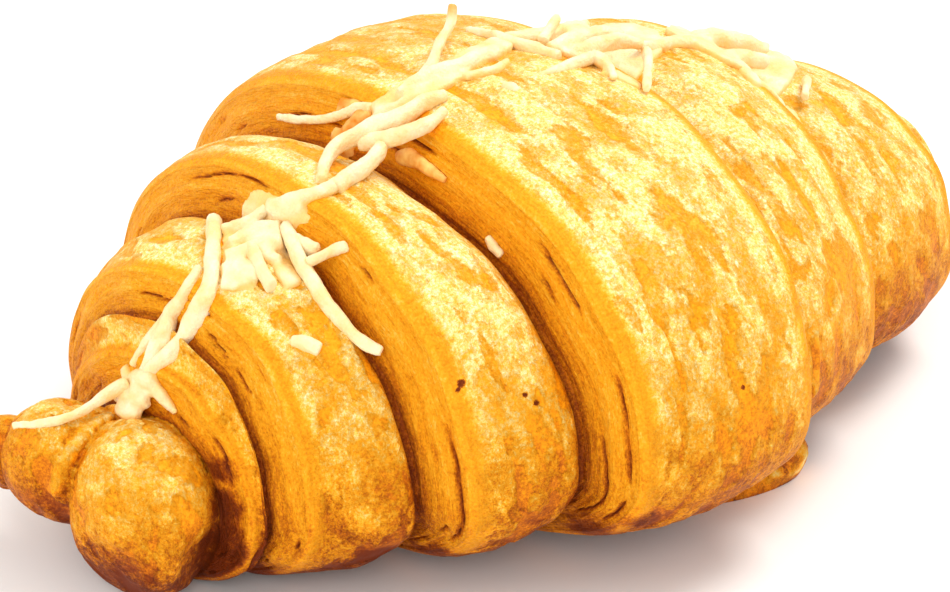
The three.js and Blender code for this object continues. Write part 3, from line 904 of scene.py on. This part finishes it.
# Melted cheese: cream that varies a little, toasted at a tip that caught the heat, and sheer enough for
# the crust's amber to show where it runs out thin.
DEEP_CREAM = colour(251, 216, 149)
PALE_CREAM = colour(253, 235, 194)
TOAST = colour(240, 158, 50)
SHEER = colour(252, 196, 84)
cheese, nodes, links, shader = new_material("melted_cheese", (0.98, 0.80, 0.48), 0.35)
tint = nodes.new("ShaderNodeValToRGB")
tint.color_ramp.elements[0].color = DEEP_CREAM
tint.color_ramp.elements[1].color = PALE_CREAM
links.new(spread_over(pattern(330, 3, roughness=0.5), -1, 1), tint.inputs["Fac"])
baked = nodes.new("ShaderNodeMix")
baked.data_type = "RGBA"
links.new(attribute("toast"), baked.inputs["Factor"])
links.new(tint.outputs["Color"], baked.inputs["A"])
baked.inputs["B"].default_value = TOAST
sheer = nodes.new("ShaderNodeMix")
sheer.data_type = "RGBA"
links.new(attribute("thin"), sheer.inputs["Factor"])
links.new(baked.outputs["Result"], sheer.inputs["A"])
sheer.inputs["B"].default_value = SHEER
links.new(sheer.outputs["Result"], shader.inputs["Base Color"])
shader.inputs["Subsurface Weight"].default_value = 0.12
shader.inputs["Subsurface Radius"].default_value = (1.0, 0.7, 0.35)
shader.inputs["Subsurface Scale"].default_value = 0.001
shader.inputs["Specular IOR Level"].default_value = 0.3
bump = nodes.new("ShaderNodeBump")
bump.inputs["Strength"].default_value = 0.3
bump.inputs["Distance"].default_value = 0.0003
links.new(pattern(1500, 3), bump.inputs["Height"])
links.new(bump.outputs["Normal"], shader.inputs["Normal"])

# Two pieces lay where the oven browned them all over.
TOASTED = ("shred_back_curl", "melt_back_browned")
BROWNED = colour(226, 134, 20)
GOLDEN = colour(252, 206, 116)
toasted, nodes, links, shader = new_material("toasted_cheese", (0.8, 0.35, 0.05), 0.42)
tint = nodes.new("ShaderNodeValToRGB")
tint.color_ramp.elements[0].color = BROWNED
tint.color_ramp.elements[1].color = GOLDEN
links.new(spread_over(pattern(380, 3), -1, 1), tint.inputs["Fac"])
links.new(tint.outputs["Color"], shader.inputs["Base Color"])
shader.inputs["Specular IOR Level"].default_value = 0.25


def finish_cheese(piece, node):
    piece.name = node + "_cheese"
    piece.data.materials.clear()
    piece.data.materials.append(toasted if node in TOASTED else cheese)
    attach(piece, "root")
    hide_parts(node)


# The upright shred is toasted from this height to its tip.
TIP_FROM = 0.0531
TIP_TO = 0.0548
TIP_TOAST = 0.8
for seed, (node, strokes) in enumerate(SHREDS.items()):
    shred = join_into_one([strand_along(stroke, PLUMPNESS) for stroke in strokes])
    melt_over(shred, SHRED_VOXEL, SHRED_ROUNDS, SHRED_LUMPS, seed + 20)
    if node == "shred_crown_upright":
        keep(shred, "toast", smooth_step(TIP_FROM, TIP_TO, positions(shred)[:, 2]) * TIP_TOAST)
    finish_cheese(shred, node)

# ---------------------------------------------------------------------------------------------------
# Melted patches: where the shreds lay thickest they ran together into soft sheets that cling to the
# crust. Each is a low sheet fused with the half-melted shreds that still stand out of it.
# ---------------------------------------------------------------------------------------------------
# For each patch, how far its sheet is let into the crust, or None for no sheet, and its strokes.
MELTS = {
    "melt_near_knot": (None, [
        [(-57.5, 6.2, 24.4, 1.6), (-57.6, 5.4, 23.6, 1.9), (-57.9, 3.9, 23.3, 2.0)],
        [(-57.7, 4.1, 23.7, 2.4), (-57.9, 1.3, 24.8, 2.9), (-57.5, -0.2, 24.7, 2.2)],
        [
            (-58.6, 7.0, 21.2, 1.8), (-58.9, 4.6, 21.6, 2.6), (-59.2, 1.9, 22.2, 2.6),
            (-58.6, 0.0, 22.9, 1.9),
        ],
        [(-59.9, 4.0, 20.8, 2.2), (-60.0, 2.0, 20.9, 2.2), (-59.7, 0.2, 20.8, 1.6)],
        [
            (-57.7, 0.3, 24.4, 2.1), (-57.5, -1.2, 23.7, 1.8), (-57.2, -2.4, 22.9, 1.4),
            (-57.1, -3.6, 22.2, 0.9),
        ],
        [(-58.2, 2.4, 24.0, 2.6), (-58.6, 2.2, 22.7, 2.8), (-59.0, 2.4, 21.3, 2.4)],
        [(-57.6, 1.3, 25.7, 1.8), (-57.9, 2.0, 24.6, 2.2)],
    ]),
    "melt_front_sheet": (1.5, [
        [
            (-45.1, 3.4, 39.5, 1.3), (-44.1, 2.5, 39.8, 1.4), (-43.5, 1.4, 40.3, 1.6),
            (-42.3, 0.4, 41.3, 1.6), (-40.9, 0.0, 42.2, 1.8),
        ],
        [
            (-46.3, 0.0, 39.0, 2.4), (-44.2, -0.6, 39.6, 2.8), (-42.7, -1.7, 40.4, 2.6),
            (-41.3, -3.3, 41.0, 2.2),
        ],
        [
            (-47.8, -1.2, 38.3, 2.2), (-46.3, -2.5, 38.8, 2.6), (-44.3, -3.0, 39.4, 2.6),
            (-42.1, -4.6, 40.0, 2.2),
        ],
        [(-48.5, -1.9, 38.2, 1.3), (-49.5, -3.6, 37.4, 1.5), (-50.5, -4.5, 36.5, 1.1)],
        [(-47.9, -2.9, 38.4, 1.4), (-48.9, -4.5, 37.6, 1.6), (-49.9, -5.6, 36.7, 1.2)],
        [(-47.1, -3.5, 38.6, 1.4), (-48.0, -5.2, 37.9, 1.6), (-48.8, -6.3, 37.1, 1.2)],
        [(-46.4, -4.3, 38.7, 1.3), (-47.1, -5.7, 38.1, 1.5), (-47.7, -6.7, 37.5, 1.1)],
        [(-44.8, -4.2, 38.9, 2.0), (-44.3, -5.4, 38.8, 2.2), (-43.7, -6.3, 38.6, 1.8)],
        [(-41.2, -5.9, 40.6, 1.6), (-41.0, -7.8, 40.4, 1.9), (-40.6, -9.4, 40.5, 1.4)],
    ]),
    "melt_front_ridge": (2.3, [
        [
            (-40.8, 0.0, 42.2, 1.9), (-40.0, -2.4, 43.5, 2.2), (-39.0, -4.4, 44.6, 2.3),
            (-37.4, -5.5, 45.2, 2.2), (-35.0, -5.7, 45.5, 2.1),
        ],
        [(-40.9, -1.5, 41.5, 1.7), (-40.2, -3.4, 42.7, 1.9), (-39.3, -5.1, 43.8, 1.6)],
    ]),
    "melt_back_ridge": (1.5, [
        [
            (-20.3, 1.3, 50.2, 2.0), (-18.5, 1.2, 50.8, 2.4), (-16.4, 1.2, 51.1, 2.7),
            (-14.2, 0.7, 51.5, 2.8), (-11.8, 0.3, 51.7, 2.7), (-8.4, 1.1, 51.8, 2.3),
            (-4.7, 1.8, 51.5, 1.9),
        ],
        [
            (-23.6, 2.6, 46.9, 1.6), (-22.4, 1.2, 48.4, 1.9), (-20.8, 0.1, 49.7, 1.7),
            (-18.8, -0.5, 50.5, 1.6),
        ],
        [(-23.6, 0.6, 47.2, 1.6), (-22.4, -0.9, 48.7, 1.8), (-20.6, -1.7, 49.8, 1.5)],
        [(-12.8, -1.6, 51.4, 1.5), (-9.0, -2.4, 51.4, 1.8), (-6.0, -1.2, 51.3, 1.4)],
    ]),
    "melt_back_browned": (1.6, [
        [
            (-24.4, 6.8, 44.4, 1.5), (-23.9, 6.0, 45.6, 1.9), (-23.4, 4.9, 46.8, 1.7),
            (-22.9, 3.6, 47.6, 1.4),
        ],
    ]),
    "melt_crown_sheet": (1.2, [
        [
            (-2.0, 4.4, 51.3, 1.8), (0.6, 3.2, 51.3, 2.0), (3.4, 2.4, 51.1, 2.1), (7.0, 3.0, 50.6, 2.2),
            (11.0, 4.2, 49.6, 1.9),
        ],
        [(0.5, -1.2, 51.2, 2.0), (4.0, -0.8, 51.1, 2.4), (8.0, -0.4, 50.6, 2.6), (12.5, -0.6, 49.5, 2.3)],
        [
            (2.6, -3.6, 51.1, 1.8), (6.0, -3.4, 50.9, 2.2), (10.0, -3.0, 50.2, 2.2),
            (13.4, -3.6, 49.1, 1.6),
        ],
        [(4.6, 0.8, 51.3, 2.2), (9.0, 1.6, 50.4, 2.2)],
    ]),
    "melt_crown_drop": (1.3, [
        [(3.4, -5.6, 51.0, 1.8), (3.6, -7.2, 50.8, 2.3), (3.2, -9.0, 50.7, 1.8), (1.9, -11.6, 50.6, 1.0)],
    ]),
    "melt_far_sheet": (1.0, [
        [(16.6, 0.6, 46.6, 1.6), (20.6, 1.4, 45.1, 1.9), (24.1, 2.3, 44.4, 2.0), (27.5, 0.8, 43.8, 2.0)],
        [(28.4, 3.8, 43.7, 1.8), (31.6, 2.4, 43.1, 2.4), (34.6, 1.2, 42.0, 2.4), (38.0, 0.0, 40.4, 2.0)],
        [(27.8, -3.0, 43.3, 2.0), (31.0, -3.2, 42.4, 2.4), (34.4, -3.8, 41.0, 2.2)],
    ]),
    "melt_far_patch": (1.0, [
        [(27.2, -6.8, 42.8, 1.8), (27.0, -8.8, 42.4, 2.2), (26.6, -10.6, 42.0, 1.4)],
        [
            (27.0, -8.7, 42.3, 2.0), (28.2, -10.2, 40.8, 2.0), (29.4, -11.1, 39.1, 2.0),
            (31.5, -11.1, 35.8, 1.8),
        ],
    ]),
}
MELT_VOXEL = 0.0003
MELT_ROUNDS = 5
MELT_LUMPS = 0.22
# How far a sheet is shifted along the roll, the fewest points that a patch of it has, and how sheer it
# is at most, between the depths where it is thin and where it is thick.
SHEET_SHIFT = 0.4
SMALLEST_PATCH = 200
SHEER_AT_MOST = 0.7
THIN_DEPTH = 0.15
THICK_DEPTH = 0.8

for seed, (node, (let_in, strokes)) in enumerate(MELTS.items()):
    parts = [strand_along(stroke) for stroke in strokes]
    if let_in is not None:
        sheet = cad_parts[node].copy()
        sheet.data = sheet.data.copy()
        sheet.parent = None
        for key in [key for key in sheet.keys() if key.startswith("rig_")]:
            del sheet[key]
        bpy.context.scene.collection.objects.link(sheet)
        join_into_one([sheet])
        bpy.ops.object.mode_set(mode="EDIT")
        bpy.ops.mesh.select_all(action="SELECT")
        bpy.ops.mesh.remove_doubles(threshold=SAME_PLACE)
        bpy.ops.transform.translate(value=(SHEET_SHIFT * MM, 0, -let_in * MM))
        bpy.ops.object.mode_set(mode="OBJECT")
        parts.append(sheet)
    melt = join_into_one(parts)
    melt_over(melt, MELT_VOXEL, MELT_ROUNDS, MELT_LUMPS, seed + 50)
    # Crumbs that broke off where a sheet is thinnest are taken away.
    bpy.ops.object.mode_set(mode="EDIT")
    bpy.ops.mesh.select_all(action="SELECT")
    bpy.ops.mesh.separate(type="LOOSE")
    bpy.ops.object.mode_set(mode="OBJECT")
    patches = list(bpy.context.selected_objects)
    for crumb in [patch for patch in patches if len(patch.data.vertices) < SMALLEST_PATCH]:
        patches.remove(crumb)
        bpy.data.objects.remove(crumb)
    melt = join_into_one(patches)
    # The crust shows through a sheet where it runs out thin.
    depths = np.array([surface.find_nearest(Vector(spot))[3] for spot in positions(melt)]) / MM
    keep(melt, "thin", SHEER_AT_MOST * (1 - smooth_step(THIN_DEPTH, THICK_DEPTH, depths)))
    finish_cheese(melt, node)
